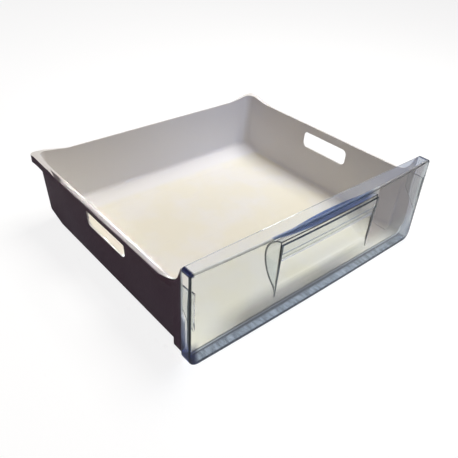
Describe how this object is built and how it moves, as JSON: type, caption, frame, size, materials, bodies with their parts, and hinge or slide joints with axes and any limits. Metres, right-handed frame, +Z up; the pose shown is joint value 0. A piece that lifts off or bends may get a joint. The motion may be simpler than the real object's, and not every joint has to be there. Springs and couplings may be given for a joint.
{
  "type": "fridge drawer",
  "caption": "Open fridge drawer: white moulded basket with a ramped rear floor, side hand holes, rim lips and raised rear corners, closed at the front by a clear panel with a sunk finger grip.",
  "frame": {"origin": "middle of the drawer's footprint, at the height of the front panel's lower edge", "axes": "+X across the drawer to the right as seen from the front, +Y from the front panel to the back, +Z up"},
  "size_m": [0.465, 0.418, 0.148],
  "materials": {
    "white_plastic": "fine satin",
    "clear_plastic": "clear gloss, slightly blue"
  },
  "bodies": {
    "root": {"basket": "white_plastic", "front_panel": "clear_plastic"}
  },
  "joints": []
}
